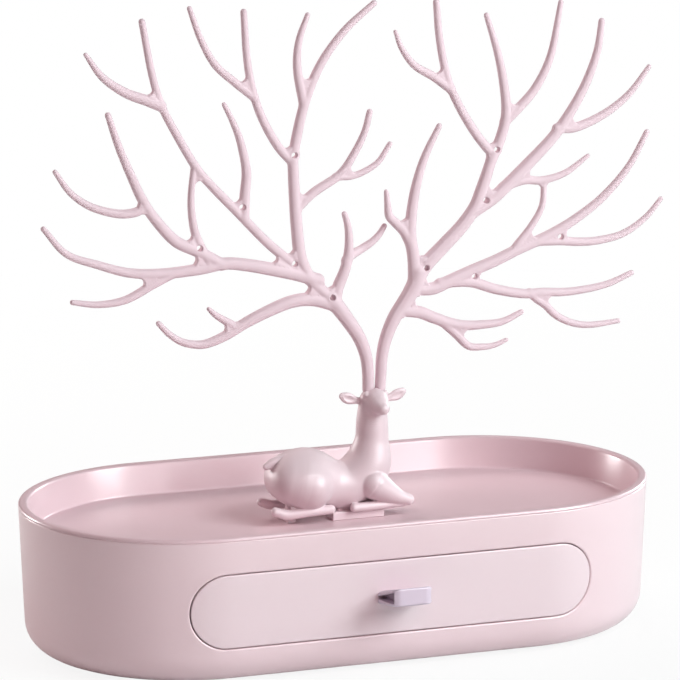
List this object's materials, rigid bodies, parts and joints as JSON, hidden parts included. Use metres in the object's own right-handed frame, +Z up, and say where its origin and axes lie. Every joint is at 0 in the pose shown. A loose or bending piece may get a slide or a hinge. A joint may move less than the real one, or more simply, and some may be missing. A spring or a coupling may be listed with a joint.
{
  "type": "jewelry stand with drawer",
  "caption": "Obround box with a sunk tray top and a pull-out drawer, carrying a lying deer whose plug-in branching antlers hold rings, chains and earrings.",
  "frame": {"origin": "on the table, under the middle of the obround box", "axes": "+Z up, +X to the right along the box and the deer's body, +Y to the back; the drawer opens towards -Y"},
  "size_m": [0.2511, 0.137, 0.2368],
  "materials": {
    "pink_plastic": "satin-gloss moulded plastic, pale pink",
    "lilac_plastic": "satin-gloss moulded plastic, pale lilac pink",
    "zinc_steel": "zinc-plated",
    "pad_rubber": "matt translucent rubber"
  },
  "bodies": {
    "base": {"casing": "pink_plastic", "tray": "pink_plastic", "tray_screws": "zinc_steel", "foot_front_left": "pad_rubber", "foot_front_right": "pad_rubber", "foot_rear_left": "pad_rubber", "foot_rear_right": "pad_rubber"},
    "drawer": {"drawer_box": "pink_plastic", "drawer_front": "pink_plastic", "drawer_front_screws": "zinc_steel", "drawer_handle": "lilac_plastic", "handle_screws": "zinc_steel"},
    "deer_figure": {"deer": "pink_plastic"},
    "left_antler": {"antler_left": "pink_plastic"},
    "right_antler": {"antler_right": "pink_plastic"}
  },
  "joints": [
    {"name": "drawer_slide", "type": "slide", "parent": "base", "child": "drawer", "axis": [0, -1, 0], "range_m": [0, 0.074]},
    {"name": "deer_lift", "type": "slide", "parent": "base", "child": "deer_figure", "axis": [0, 0, 1], "range_m": [0, 0.03]},
    {"name": "antler_left_lift", "type": "slide", "parent": "deer_figure", "child": "left_antler", "axis": [0, 0, 1], "range_m": [0, 0.01]},
    {"name": "antler_right_lift", "type": "slide", "parent": "deer_figure", "child": "right_antler", "axis": [0, 0, 1], "range_m": [0, 0.01]}
  ]
}
